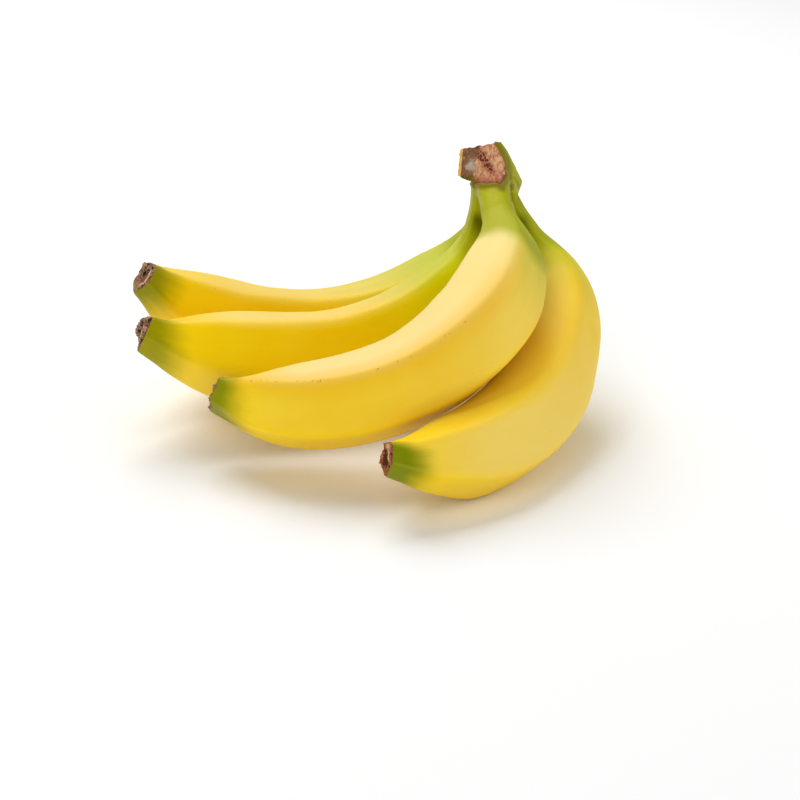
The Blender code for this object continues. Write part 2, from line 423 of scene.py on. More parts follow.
def placed(name: str, data: bpy.types.ID) -> Piece:
    """Return a new object in the scene that shows the data."""
    made = bpy.data.objects.new(name, data)
    bpy.context.scene.collection.objects.link(made)
    return made


def finished(name: str, bm: Mesh) -> Piece:
    """Turn a bmesh into a smooth object in the scene.

    Args:
        name: the piece's name.
        bm: the mesh in the frame; it is freed.

    Returns:
        The object, at the origin.
    """
    mesh = bpy.data.meshes.new(name)
    for face in bm.faces:
        face.smooth = True
    bm.to_mesh(mesh)
    bm.free()
    log.info("%s: %d faces", name, len(mesh.polygons))
    return placed(name, mesh)


def spots_along(paths: Sequence[FingerPath], last: float, steps: int) -> tuple[list[Spot], KDTree]:
    """Step along the middles of some fingers.

    Args:
        paths: their curves.
        last: share of the length to which the steps go.
        steps: how many steps each takes.

    Returns:
        The curve and the share at each spot, and a tree of the spots' places.
    """
    spots = [(path, last * i / steps) for path in paths for i in range(steps + 1)]
    tree = KDTree(len(spots))
    for i, (path, share) in enumerate(spots):
        tree.insert(path.axes(share)[0], i)
    tree.balance()
    return spots, tree


class Neighbours:
    """Where the fingers run, to tell how close a spot on one comes to the others, for painted shade."""

    STEPS = 120
    REACH = 0.92  # share of the length that counts
    NEAR = 26  # mm within which another finger's middle counts
    FACING = (-0.15, 0.45)  # how squarely the skin has to face the other finger
    # painted shade: the next two set how near another finger the painted shade of a crease or a fold starts and
    # is full
    CREASE = (16, 8)  # mm from the other finger at which a crease starts and is full
    FOLD = (9.5, 2.5)  # the same for a fold

    def __init__(self) -> None:
        """Step along the four curves."""
        self.spots, self.tree = spots_along([FingerPath(shape) for shape in FINGERS], self.REACH, self.STEPS)
        self.radii = [path.radius(share, 0) for path, share in self.spots]

    def crowding(self, path: FingerPath, share: float, angle: float) -> tuple[float, float]:
        """Return how much painted shade a spot on the skin gets from the other fingers close by that it faces.

        Args:
            path: the finger's curve.
            share: share of the length.
            angle: angle round the section, in radians.

        Returns:
            Painted shade, up to 1 in the creases between the necks, and up to 1 in the folds between the bodies.
        """
        tone = path.shape.tone
        if share > self.REACH or share > BODY_NEAR and not tone.shade:
            return 0, 0
        centre, _, inner, across = path.axes(share)
        outward = inner * cos(angle) + across * sin(angle)
        spot = centre + outward * path.radius(share, angle)
        crease = fold = 0
        for place, i, distance in self.tree.find_range(spot, self.NEAR):
            if self.spots[i][0].shape is not path.shape and distance > 0:
                facing = ease(*self.FACING, outward.dot(place - spot) / distance)
                crease = max(crease, facing * ease(*self.CREASE, distance - self.radii[i]))
                fold = max(fold, facing * ease(*self.FOLD, distance - self.radii[i]))
        crease *= ease(0.045, 0.075, share) * ease(tone.crease_to, tone.crease_to - 0.1, share)
        return crease, fold * ease(0.2, 0.31, share) * ease(self.REACH, 0.8, share)


@lru_cache(maxsize=1)
def neighbours() -> Neighbours:
    """Return where the fingers run, worked out once."""
    return Neighbours()


class Marks:
    """The numbers that a piece's vertices carry for its finish."""

    SKIN = ("ridge", "rim", "bloom", "young", "stem", "tip", "depth", "warm", "crowded", "folded")
    BLOOM_BLEND, GREEN_BLEND, STEM_BLEND = 0.14, 0.4, 0.5  # facets over which a colour changes at a ridge
    YOUNG_TO = 1.25  # where young skin ends, in shares of the place where it turns ripe
    YOUNG_FADE, STEM_FADE, TIP_FADE = 0.9, 0.055, 0.066  # how slowly the greens fade along the finger
    GRAIN_ROUND, GRAIN_ALONG = 0.018, 0.15 * MM  # sizes of the space that the skin's grain follows

    def __init__(self, bm: Mesh, names: Sequence[str], follow: str) -> None:
        """Make the layers.

        Args:
            bm: the mesh.
            names: names of the number layers.
            follow: name of the layer of places along the piece's own grain.
        """
        self.layers = {name: bm.verts.layers.float.new(name) for name in names}
        self.follow = bm.verts.layers.float_vector.new(follow)

    def put(self, vert: Vert, **values: float) -> None:
        """Store numbers on a vertex by their layers' names."""
        for name, value in values.items():
            vert[self.layers[name]] = value

    def skin(self, vert: Vert, path: FingerPath, share: float, angle: float, rim: float) -> None:
        """Store where on the finger a vertex of the skin lies.

        Args:
            vert: the vertex.
            path: the finger's curve.
            share: share of the length.
            angle: angle round the section, in radians.
            rim: 1 at the worn edge of the skin, less away from it.
        """
        tone, turn = path.shape.tone, path.turn(share, angle)
        # painted sheen: a pale veil painted on the upward facets, weaker at the very tip
        near, far = (on_facets(bloom, turn, self.BLOOM_BLEND) for bloom in (tone.bloom_near, tone.bloom_far))
        bloom = near + (far - near) * ease(0.2, 0.7, share)
        ripe_at = on_facets(tone.young_at, turn, self.GREEN_BLEND)
        # painted shade from the fingers close by
        crease, fold = neighbours().crowding(path, share, angle)
        self.put(
            vert,
            ridge=1 - path.ridge_offset(share, angle),
            rim=rim,
            bloom=bloom * (0.25 + 0.75 * ease(0.97, 0.78, share)),
            young=(self.YOUNG_TO - share / ripe_at) / self.YOUNG_FADE,
            stem=(on_facets(tone.stem_at, turn, self.STEM_BLEND) - share) / self.STEM_FADE + 0.5,
            tip=(share - on_facets(tone.tip_from, turn, self.GREEN_BLEND)) / self.TIP_FADE,
            depth=tone.depth,
            warm=tone.warm * ease(0.5, 0, min(turn, RIDGES - turn)) * ease(0.2, 0.4, share),
            crowded=crease,
            folded=fold * tone.shade,
        )
        vert[self.follow] = Vector((
            self.GRAIN_ROUND * cos(angle), self.GRAIN_ROUND * sin(angle) + path.shape.seed,
            share * path.shape.length * self.GRAIN_ALONG,
        ))


@dataclass(frozen=True)
class Value:
    """A number or a colour that a material works out, with sums in plain notation."""

    net: "Net"
    socket: bpy.types.NodeSocket

    def __add__(self, other: "Value | float") -> "Value":
        """Return the sum."""
        return self.net.sum("ADD", self, other)

    def __sub__(self, other: "Value | float") -> "Value":
        """Return the difference."""
        return self.net.sum("SUBTRACT", self, other)

    def __mul__(self, other: "Value | float") -> "Value":
        """Return the product."""
        return self.net.sum("MULTIPLY", self, other)


Given = Value | float | tuple[float, ...]


class Net:
    """A material's net of nodes, with a short way to write it."""

    def __init__(self, name: str) -> None:
        """Make a material with a Principled shader.

        Args:
            name: the material's name.
        """
        self.material = bpy.data.materials.new(name)
        self.material.use_nodes = True
        self.nodes = self.material.node_tree.nodes
        self.links = self.material.node_tree.links
        self.shader = self.nodes["Principled BSDF"]

    def feed(self, socket: bpy.types.NodeSocket, value: Given) -> None:
        """Link a socket to a value that is worked out, or set it."""
        if isinstance(value, Value):
            self.links.new(value.socket, socket)
        else:
            socket.default_value = value

    def node(self, kind: str, given: dict[str | int, Given], output: str | int, **settings: str) -> Value:
        """Add a node.

        Args:
            kind: the node's type, without its prefix.
            given: what its inputs are fed.
            output: the output that is wanted.
            settings: its properties.

        Returns:
            The output.
        """
        made = self.nodes.new("ShaderNode" + kind)
        for key, value in settings.items():
            setattr(made, key, value)
        for socket, value in given.items():
            self.feed(made.inputs[socket], value)
        return Value(self, made.outputs[output])

    def mark(self, name: str, kind: str = "Fac") -> Value:
        """Return a number, or a vector, that the vertices carry."""
        return self.node("Attribute", {}, kind, attribute_name=name)

    def place(self, scale: tuple[float, float, float] = (1, 1, 1)) -> Value:
        """Return object coordinates, scaled."""
        spot = self.node("TexCoord", {}, "Object")
        return self.node("Mapping", {"Vector": spot, "Scale": scale}, "Vector")

    def sum(self, operation: str, one: Given, two: Given) -> Value:
        """Return a math operation on two values."""
        return self.node("Math", {0: one, 1: two}, 0, operation=operation)

    def step(self, value: Value, low: float, high: float, top: Given = 1) -> Value:
        """Return a smooth step of a value from 0 at low to top at high."""
        given = {"Value": value, "From Min": low, "From Max": high, "To Max": top}
        return self.node("MapRange", given, 0, interpolation_type="SMOOTHSTEP")

    def frayed(self, name: str, grain: Value, width: float, low: float, high: float, top: float = 1) -> Value:
        """Return a smooth step of a mark whose edge is frayed.

        Args:
            name: the mark.
            grain: the noise that frays it, about 0.5.
            width: how much it frays.
            low: where the step starts.
            high: where it is full.
            top: how high it is then.

        Returns:
            The step.
        """
        return self.step(self.mark(name) + (grain - 0.5) * width, low, high, top)

    def noise(self, place: Value, scale: float, detail: float = 3, rough: float = 0.5) -> Value:
        """Return smooth noise, about 0.5."""
        given = {"Vector": place, "Scale": scale, "Detail": detail, "Roughness": rough}
        return self.node("TexNoise", given, "Fac")

    def cells(self, place: Value, scale: float) -> Value:
        """Return the distance to the nearest of scattered points."""
        return self.node("TexVoronoi", {"Vector": place, "Scale": scale}, "Distance")

    def mix(self, share: Given, one: Given, two: Given) -> Value:
        """Return two colours mixed."""
        return self.node("Mix", {0: share, 6: one, 7: two}, 2, data_type="RGBA")

    def set(self, name: str, value: Given) -> None:
        """Feed one of the shader's inputs."""
        self.feed(self.shader.inputs[name], value)

    def matte_edge(self, level: Given) -> None:
        """Set how strong the sheen is, with none where the surface is seen at a grazing angle."""
        turned = self.node("LayerWeight", {}, "Facing")
        self.set("Specular IOR Level", self.step(turned, 0.95, 0.62, level))

    def bump(self, height: Value, strength: float, distance: float) -> None:
        """Raise the shader's surface by a height."""
        given = {"Strength": strength, "Distance": distance, "Height": height}
        self.set("Normal", self.node("Bump", given, 0))

    def dress(self, pieces: Iterable[Piece]) -> None:
        """Give the pieces this material."""
        for piece in pieces:
            piece.data.materials.append(self.material)


@dataclass(frozen=True)
class PeelFinish:
    """Waxy ripe peel: golden with a pale painted sheen above, green at both ends, with fine freckles on the
    ridges.
    """

    gold: Colour = linear(249, 205, 2)
    lemon: Colour = linear(251, 212, 18)
    # the pale cream of the painted sheen on ripe skin
    cream: Colour = linear(242, 218, 138)
    amber: Colour = linear(240, 180, 10)
    lime: Colour = linear(204, 202, 0)
    # pale lime of the painted highlights on green ridges and of the painted sheen on young skin
    pale_lime: Colour = linear(182, 192, 76)
    stem_green: Colour = linear(168, 170, 6)
    tip_green: Colour = linear(122, 132, 0)
    # painted shade colours: in the creases between the necks and in the folds between the bodies
    crease: Colour = linear(64, 66, 0)
    ochre: Colour = linear(170, 118, 0)
    freckle: Colour = linear(176, 112, 24)
    scar: Colour = linear(134, 88, 64)
    sheen: Colour = linear(243, 200, 60)
    shine: float = 0.32

    def skin(self, net: Net) -> Value:
        """Lay out the colours of the skin along a finger.

        Args:
            net: the material that is being made.

        Returns:
            The colour.
        """
        place, follow = net.place(), net.mark("skin", "Vector")
        ridge, warm = net.mark("ridge"), net.mark("warm")
        cloud = net.noise(place, 34, 3, 0.55)
        streak = net.noise(follow, 420, 3, 0.6)
        wander = net.noise(follow, 150, 3, 0.6) - 0.5
        young = net.step(net.mark("young") + wander * 0.5, 0, 1)
        ripe = net.mix(net.step(cloud * 0.75 + streak * 0.25, 0.36, 0.66), self.gold, self.lemon)
        full = net.mix(young, ripe, self.lime)
        # painted sheen: the pale veil painted over the upward facets
        veiled = net.mix(young, self.cream, self.pale_lime)
        colour = net.mix(net.mark("bloom") * (cloud * 0.64 + 0.68), full, veiled)
        colour = net.mix(warm * 0.5, colour, self.amber)
        colour = net.mix(net.frayed("stem", cloud, 1, 0, 1), colour, self.stem_green)
        # painted shade where the skin faces another finger close by: dark green near the necks, orange-brown in
        # the folds
        colour = net.mix(net.mark("crowded") * 0.85, colour, self.crease)
        colour = net.mix(net.mark("folded"), colour, self.ochre)
        tip = net.mark("tip") + wander * 0.35 + (cloud - 0.5)
        tip = net.step(tip, -0.1, 1.1) * net.mark("depth")
        colour = net.mix(tip, colour, self.tip_green)
        # painted highlight: a pale line along the ridges of green skin
        line = net.step(ridge, 0.8, 1, 0.22) * net.sum("MAXIMUM", tip, young)
        colour = net.mix(line, colour, self.pale_lime)
        dots = net.step(net.cells(place, 620), 0.3, 0.12)
        where = net.step(net.noise(place, 70, 2), 0.36, 0.6)
        many = dots * where * net.step(ridge, 0.9, 0.97) * (warm * 0.55 + 0.12)
        colour = net.mix(many, colour, self.freckle)
        specks = net.step(net.cells(place, 240), 0.06, 0.03)
        few = specks * net.step(net.noise(place, 40, 1), 0.5, 0.64, 0.45)
        colour = net.mix(few, colour, self.freckle)
        grain = net.noise(place, 600, 3, 0.6)
        return net.mix(net.frayed("rim", grain, 1.3, 0.62, 0.92, 0.9), colour, self.scar)

    def dress(self, pieces: Iterable[Piece]) -> None:
        """Give the pieces this finish, with a waxy sheen and a fine grain.

        Args:
            pieces: the peels.
        """
        net = Net("peel")
        fine = net.noise(net.place(), 700, 4, 0.6)
        streak = net.noise(net.mark("skin", "Vector"), 900, 3, 0.6)
        net.set("Base Color", self.skin(net))
        net.set("Specular Tint", self.sheen)
        net.matte_edge(self.shine)
        net.set("Roughness", fine * 0.2 + 0.36)
        net.bump(fine + streak, 0.25, 0.25 * MM)
        net.dress(pieces)


@dataclass
class Banana:
    """One finger's peel, from inside the crown to the rim at its free end."""

    shape: FingerShape
    around: int = 120
    along: int = 300
    first: float = 0.06  # share of the length at which it starts
    folds_at: float = 0.985  # share of the tube that shows; the rest folds inwards over the rim
    fold_depth: float = 3.5  # mm that the folded skin goes in
    fold_width: float = 0.4  # share by which it narrows on the way
    rounding: float = 0.07  # share by which the skin narrows at the rim
    rounded: float = 0.9  # mm over which it does

    def __post_init__(self) -> None:
        """Work out the finger's curve."""
        self.path = FingerPath(self.shape)

    def build(self) -> Piece:
        """Bend a straight tube onto the finger and close its ends.

        Returns:
            The peel.
        """
        bm = straight_tube(self.around, self.along)
        marks = Marks(bm, Marks.SKIN, "skin")
        for vert in bm.verts:
            angle = math.atan2(vert.co.y, vert.co.x)
            end = self.path.skin_end(angle)
            t = min((vert.co.z + 0.5) / self.folds_at, 1)
            inner = max((vert.co.z + 0.5 - self.folds_at) / (1 - self.folds_at), 0)
            share = self.first + t * (end - self.first)
            left = (end - share) * self.shape.length
            narrow = 1 - self.rounding * (1 - min(left / self.rounded, 1)) ** 2
            marks.skin(vert, self.path, share, angle, rim=math.exp(-left / self.shape.worn))
            radius = self.path.radius(share, angle) * narrow + self.hollows(share, angle)
            deep = self.fold_depth * inner / self.shape.length
            vert.co = self.path.point(share - deep, angle, radius * (1 - self.fold_width * inner))
            vert.co.z = max(vert.co.z, 0)  # it lies flat where it touches the ground
        close_ends(bm)
        piece = finished("peel_" + self.shape.name, bm)
        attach(piece, "root")
        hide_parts("banana_" + self.shape.name)
        return piece

    def hollows(self, share: float, angle: float) -> float:
        """Return the slow unevenness of the skin in mm, which also tucks it under the crown's skin."""
        spot = Vector((share * 11, cos(angle), sin(angle) + self.shape.seed))
        tuck = -0.45 * ease(0.105, 0.07, share)
        return 0.3 * noise.noise(spot) * ease(0.12, 0.3, share) + tuck


@dataclass(frozen=True)
class BlossomFinish:
    """Dry, dark brown remnant with paler worn edges and black pits."""

    pit: Colour = linear(42, 26, 18)
    dark: Colour = linear(106, 72, 52)
    brown: Colour = linear(204, 160, 122)
    pale: Colour = linear(246, 204, 156)
    plum: Colour = linear(118, 70, 58)
    rust: Colour = linear(176, 96, 40)

    def dress(self, pieces: Iterable[Piece]) -> None:
        """Give the pieces this finish.

        Args:
            pieces: the dry ends.
        """
        net = Net("dry_blossom")
        place, rust = net.place(), net.mark("rust")
        rough = net.noise(place, 1300, 5, 0.7)
        coarse = net.noise(place, 420, 3, 0.6)
        fibre = net.noise(net.mark("fibre", "Vector"), 2200, 3, 0.6)
        strands = fibre * 0.55 + rough * 0.45
        colour = net.mix(net.step(strands, 0.4, 0.6), self.dark, self.brown)
        colour = net.mix(rust * net.step(coarse, 0.4, 0.6), colour, self.rust)
        colour = net.mix(net.frayed("foot", coarse, 1.4, 0.45, 0.85, 0.75), colour, self.plum)
        colour = net.mix(net.frayed("height", rough, 1.3, 0.5, 0.24), colour, self.pit)
        colour = net.mix(net.frayed("crescent", strands, 1.5, 0.42, 0.8, 0.95), colour, self.pale)
        net.set("Base Color", net.mix(rust * 0.35, colour, self.rust))
        net.set("Roughness", rough * 0.2 + 0.75)
        net.set("Specular IOR Level", 0.2)
        net.bump(rough + fibre, 0.8, 0.5 * MM)
        net.dress(pieces)


@dataclass
class BlossomEnd:
    """The dry stub that closes a finger: a crater, a pale worn rim, a knob on one side and a low side.

    Heights are in mm and sides in degrees round the finger. The places called _in and the shoulder are shares of
    the way from the foot of the stub to its middle.
    """

    shape: FingerShape
    proud: float
    crater: float
    knob: float
    knob_at: float
    pale_at: float
    knob_width: float = 0.7
    knob_in: float = 0.42
    pale_in: float = 0.58
    rust: float = 0
    low_at: float = 0
    low: float = 0
    around: int = 168
    rows: int = 96
    sunk: float = 1.4
    shoulder: float = 0.4
    wide: float = 0.965
    narrowing: float = 0.05

    def __post_init__(self) -> None:
        """Work out the finger's curve."""
        self.path = FingerPath(self.shape)

    def profile(self, t: float) -> tuple[float, float]:
        """Return the radius share and the height in mm at a share of the way from the foot to the middle."""
        if t < self.shoulder:
            rise = t / self.shoulder
            radius = self.wide - self.narrowing * ease(0.5, 1, rise)
            return radius, -self.sunk + (self.proud + self.sunk) * rise
        inward = (t - self.shoulder) / (1 - self.shoulder)
        height = self.proud + 0.35 * bell(0.3, 0.14, inward) - self.crater * ease(0.34, 0.66, inward)
        return (self.wide - self.narrowing) * (1 - inward), height

    def build(self) -> Piece:
        """Shape the stub from a straight tube.

        Returns:
            The stub.
        """
        bm = straight_tube(self.around, self.rows)
        marks = Marks(bm, ("height", "crescent", "foot", "rust"), "fibre")
        shape = self.shape
        for vert in bm.verts:
            t = vert.co.z + 0.5
            angle = math.atan2(vert.co.y, vert.co.x)
            x, y = cos(angle), sin(angle)
            radius, height = self.profile(t)
            spot = Vector((x * radius * 6, y * radius * 6, height + shape.seed))
            lumps = noise.fractal(spot * 0.55, 0.9, 2, 5)
            crumbs = noise.fractal(spot * 1.7, 0.8, 2, 4)
            folds = abs(noise.noise(Vector((x * 4.5, y * 4.5, shape.seed)))) * ease(0.1, 0.4, t)
            worn = ease(0.12, 0.42, t)
            pale = ease(0, 0.8, towards(angle, self.pale_at)) * bell(self.pale_in + 0.05 * lumps, 0.1, t)
            pit = 0.5 * ease(0.58, 0.72, t) + 0.22 * self.rust * ease(0.42, 0.5, t)
            marks.put(
                vert,
                height=0.58 + 0.9 * lumps + 0.4 * crumbs - pit,
                crescent=pale + 0.35 * ease(0.3, 0.9, crumbs + lumps) * worn,
                foot=ease(0.42, 0.18, t),
                rust=self.rust,
            )
            vert[marks.follow] = Vector((0.006 * x, 0.006 * y + shape.seed, 0.0012 * t))
            height += worn * (0.55 * lumps + 0.35 * crumbs - 0.6 * folds)
            height -= worn * self.low * ease(0, 1, towards(angle, self.low_at))
            knobby = ease(1 - self.knob_width, 1, towards(angle, self.knob_at))
            height += self.knob * knobby * bell(self.knob_in, 0.16, t)
            level = ease(0.45, 1, t)
            base = self.path.skin_end(angle) * (1 - level) + (1 - shape.remnant / shape.length) * level
            held = self.path.radius(min(base, 1), angle) * radius
            held += worn * (0.4 * lumps + 0.2 * crumbs - 0.8 * folds * bell(0.42, 0.07, t))
            vert.co = self.path.point(base + height / shape.length, angle, max(held, 0))
        bmesh.ops.remove_doubles(bm, verts=bm.verts, dist=WELD)
        close_ends(bm)
        piece = finished("blossom_end_" + shape.name, bm)
        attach(piece, "root")
        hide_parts("tip_" + shape.name)
        return piece


BLOSSOM_ENDS = (
    BlossomEnd(BACK, -0.1, 1.8, knob=1.6, knob_at=72, pale_at=-80, knob_width=0.6, low_at=150, low=0.8),
    BlossomEnd(
        SECOND, 1.1, 0.9, knob=2.3, knob_at=65, pale_at=-100, knob_width=0.9, knob_in=0.6, low_at=190,
        low=1.2,
    ),
    BlossomEnd(MIDDLE, 0.3, 0.8, knob=0, knob_at=0, pale_at=60),
    BlossomEnd(
        FRONT, 0.6, 1.5, knob=0.5, knob_at=100, pale_at=-80, knob_width=0.6, low_at=150, low=1.3,
        pale_in=0.49, rust=0.8,
    ),
)


def closest_on(start: Vector, end: Vector, spot: Vector) -> Vector:
    """Return the nearest place to a spot on a stretch between two ends."""
    run = end - start
    t = min(max((spot - start).dot(run) / run.length_squared, 0), 1)
    return start + t * run


def distance_to(line: Outline, x: float, y: float) -> float:
    """Return the distance from a spot to an open line of corners."""
    spot = Vector((x, y))
    pairs = zip(line, line[1:])
    return min((closest_on(Vector(start), Vector(end), spot) - spot).length for start, end in pairs)


def inside(outline: Outline, x: float, y: float) -> float:
    """Return how far a spot lies inside a closed outline.

    Args:
        outline: corners in order.
        x: first coordinate of the spot.
        y: second coordinate of the spot.

    Returns:
        The distance to the nearest side, negative outside the outline.
    """
    within = False
    for (x0, y0), (x1, y1) in zip((outline[-1], *outline), outline):
        if (y0 > y) != (y1 > y) and x < x0 + (y - y0) * (x1 - x0) / (y1 - y0):
            within = not within
    nearest = distance_to((outline[-1], *outline), x, y)
    return nearest if within else -nearest


@dataclass(frozen=True)
class CrownFinish:
    """Cut stalk: porous pinkish wood with a dark fibrous heart, and green skin that runs into the necks."""

    wood: Colour = linear(234, 184, 142)
    flesh: Colour = linear(196, 126, 92)
    pore: Colour = linear(136, 80, 58)
    blush: Colour = linear(168, 98, 72)
    bruise: Colour = linear(118, 74, 64)
    grey: Colour = linear(136, 96, 62)
    ash: Colour = linear(186, 170, 150)
    heart: Colour = linear(98, 36, 28)
    tan: Colour = linear(222, 180, 100)
    # olive: old skin near the cut, and the painted shade in the crease and the fold
    olive: Colour = linear(122, 112, 22)
    moss: Colour = linear(112, 92, 30)

    def dress(self, piece: Piece, peel: PeelFinish) -> None:
        """Give the crown this finish.

        Args:
            piece: the crown.
            peel: the finish of the skin below it.
        """
        net = Net("stalk")
        rough = net.noise(net.place(), 600, 5, 0.65)
        coarse = net.noise(net.place(), 190, 4, 0.6)
        grain = net.noise(net.place((1, 0.45, 0.28)), 1500, 3, 0.6)
        fibre = net.noise(net.place((1, 0.5, 0.5)), 900, 4, 0.65)
        mottle = coarse + fibre - 0.5
        skin = net.mix(net.frayed("old", coarse, 1.2, 0.15, 0.8, 0.85), peel.skin(net), self.olive)
        marks = net.step(rough, 0.56, 0.66) * net.frayed("old", coarse, 1.2, 0.5, 1, 0.6)
        skin = net.mix(marks, skin, self.bruise)
        # painted highlight: a pale line just beside the crease between the necks
        skin = net.mix(net.mark("light") * 0.55, skin, peel.pale_lime)
        # painted shade in the crease and the fold between the necks
        skin = net.mix(net.mark("groove") * 0.6, skin, self.olive)
        wood = net.mix(net.step(fibre, 0.4, 0.62), self.wood, self.flesh)
        pores = net.step(net.cells(net.place((1, 0.8, 0.8)), 1900), 0.44, 0.2)
        wood = net.mix(pores * net.step(coarse, 0.25, 0.55, 0.85), wood, self.pore)
        wood = net.mix(net.frayed("red", coarse, 1, 0.25, 0.95, 0.8), wood, self.blush)
        dots = net.step(net.cells(net.place((1, 0.7, 0.7)), 1200), 0.7, 0.25)
        heart = net.mark("heart") * (dots + 0.15) + (coarse - 0.5) * 0.5
        wood = net.mix(net.step(heart, 0.12, 0.6, 0.95), wood, self.heart)
        left = net.mix(net.step(fibre, 0.4, 0.6), self.grey, self.bruise)
        left = net.mix(net.step(fibre, 0.54, 0.66, 0.5), left, self.tan)
        left = net.mix(net.frayed("ash", mottle, 1.5, 0.15, 0.95, 0.85), left, self.ash)
        left = net.mix(net.frayed("lip", rough, 1.2, 0.35, 0.75, 0.9), left, self.moss)
        left = net.mix(net.frayed("purple", rough, 1.2, 0.35, 0.8, 0.85), left, self.heart)
        wood = net.mix(net.frayed("side", mottle, 1.1, 0.3, 0.7), wood, left)
        wood = net.mix(net.frayed("band", rough, 1.4, 0.35, 0.8, 0.85), wood, self.bruise)
        wood = net.mix(net.frayed("sliver", rough, 0.6, 0.4, 0.7), wood, self.tan)
        bare = net.frayed("cut", rough, 0.9, 0.42, 0.58)
        net.set("Base Color", net.mix(bare, skin, wood))
        net.set("Roughness", bare * 0.4 + 0.46 + (rough - 0.5) * 0.15)
        net.set("Specular Tint", peel.sheen)
        net.matte_edge(bare * -0.2 + peel.shine)
        net.bump((rough + grain) * (bare + 0.12), 0.5, 0.6 * MM)
        net.dress([piece])


@dataclass
class Crown:
    """The cut block of stalk and the first stretch of the four necks, grown into one.

    The outlines and lines lie on the crown's face: across it, and up it, in mm from the crown's origin.
    """

    MARKS = ("cut", "side", "purple", "heart", "red", "band", "sliver", "ash", "lip", "groove", "light", "old")
    body: Corners = (
        (-5.8, 2.4, 13.4), (0, 3.1, 14.4), (5.1, -4.3, 3.3), (2.7, -6.7, -0.3), (-2.3, -5.8, 0.8),
        (-8.3, -3, 1.6), (3.1, 5.4, 13.8), (8.6, 5, 3.7), (12, 6, -3), (10.5, 14, -12),
        (-8, 14, 6), (6, 14, 7.5), (-5, 29, -1), (8, 29, -1), (-5, 31, -15),
        (9, 31, -15), (-8.6, 3, -4.2), (-6, 9, -8),
    )
    lip: Corners = (
        (-5.8, 2.4, 13.4), (-7.4, -4.6, 2.2), (-13, 7.1, 10.4), (-14.3, 1.8, 1.5), (-12.2, -0.9, 0.9),
        (-9.3, -2, 0.3), (-9.3, 5, -2), (-12.6, 6, -1), (-8, 14, 6), (-2, 4, 2),
        (-2, 6, 12),
    )
    cut_outline: Outline = (
        (-16, 14), (-5.7, 17), (0.35, 16), (0.35, 14.3), (2.9, 10.5), (4.9, 6.1), (5.1, 1.4), (2.7, -2.7),
        (0.3, -1.9), (-2.5, -2.2), (-5.7, -1.7), (-7, -1.4), (-8.1, -0.35), (-11.6, -0.2), (-16, 0),
    )
    crease: Outline = ((0.8, 13.8), (4.9, 5.8), (6.8, 1.2), (7.2, -1.2), (7.2, -8.4))
    fold: Outline = ((8.4, 1.2), (10.4, -1.9))
    neck_end: float = 0.125
    nearby: float = 0.15  # share of a finger's length along which its skin may run on over the crown
    steps: int = 40
    voxel: float = 0.36 * MM
    smoothing: int = 7

    def __post_init__(self) -> None:
        """Work out the curves of the four fingers."""
        self.paths = [FingerPath(shape) for shape in FINGERS]
        self.place = self.paths[0].place
        self.spots, self.tree = spots_along(self.paths, self.nearby, self.steps)

    def block(self, bm: Mesh, corners: Corners) -> None:
        """Add the flat-sided block that spans some corners."""
        own = bmesh.new()
        for corner in corners:
            own.verts.new(self.place @ (Vector(corner) * MM))
        hull = bmesh.ops.convex_hull(own, input=own.verts)
        bmesh.ops.delete(own, geom=hull["geom_interior"], context="VERTS")
        bmesh.ops.recalc_face_normals(own, faces=own.faces)
        self.add(bm, own)

    def neck(self, bm: Mesh, path: FingerPath) -> None:
        """Add the first stretch of a neck, which dives just under the peel at its end."""
        own = straight_tube(64, 40)
        for vert in own.verts:
            share = (vert.co.z + 0.5) * self.neck_end
            angle = math.atan2(vert.co.y, vert.co.x)
            proud = 0.16 - 0.6 * ease(0.075, self.neck_end, share)
            vert.co = path.point(share, angle, path.radius(share, angle) + proud)
        close_ends(own)
        self.add(bm, own)

    def add(self, bm: Mesh, own: Mesh) -> None:
        """Join one closed shell to the rest."""
        mesh = bpy.data.meshes.new("shell")
        own.to_mesh(mesh)
        own.free()
        bm.from_mesh(mesh)
        bpy.data.meshes.remove(mesh)

    def fused(self) -> Mesh:
        """Fuse the block and the necks into one skin.

        Returns:
            The fused mesh.
        """
        bm = bmesh.new()
        self.block(bm, self.body)
        self.block(bm, self.lip)
        for path in self.paths:
            self.neck(bm, path)
        rough = finished("crown_shells", bm)
        remesh = rough.modifiers.new("fuse", "REMESH")
        remesh.mode = "VOXEL"
        remesh.voxel_size = self.voxel
        seen = rough.evaluated_get(bpy.context.evaluated_depsgraph_get())
        mesh = bpy.data.meshes.new_from_object(seen)
        bpy.data.objects.remove(rough, do_unlink=True)
        fused = bmesh.new()
        fused.from_mesh(mesh)
        bpy.data.meshes.remove(mesh)
        for _ in range(self.smoothing):
            bmesh.ops.smooth_vert(
                fused, verts=fused.verts, factor=0.5, use_axis_x=True, use_axis_y=True, use_axis_z=True
            )
        bmesh.ops.recalc_face_normals(fused, faces=fused.faces)
        fused.normal_update()
        return fused

    def face_marks(self, x: float, up: float, cut: float) -> dict[str, float]:
        """Return the marks of the cut faces.

        Args:
            x: how far across the face, in mm.
            up: how far up it, in mm.
            cut: how far inside the cut, in mm.

        Returns:
            The marks by name, each from 0 to about 1.
        """
        core = x - 1.2 + 0.66 * up  # how far right of the middle of the heart, which leans to the left
        return {
            "side": ease(2.2, -2.2, x + 8.1 - 0.22 * up),
            "purple": bell(-6.6, 1.6, x) * bell(13.2, 1.8, up),
            "heart": bell(0, 2.1, core) * bell(7, 4.6, up),
            "red": max(bell(0, 3.2, core) * bell(5.6, 7.5, up), 0.9 * ease(3.5, -1.5, up)),
            "band": bell(0, 1.1, cut) * ease(-9, -5, x) * ease(9, 3, up),
            "sliver": ease(-11.9, -12.8, x - 0.1 * (up - 6)),
            "ash": bell(5.2, 3, up) * bell(-8.8, 2.6, x),
            "lip": ease(2.6, 0.6, up) * ease(-7, -8.5, x),
        }

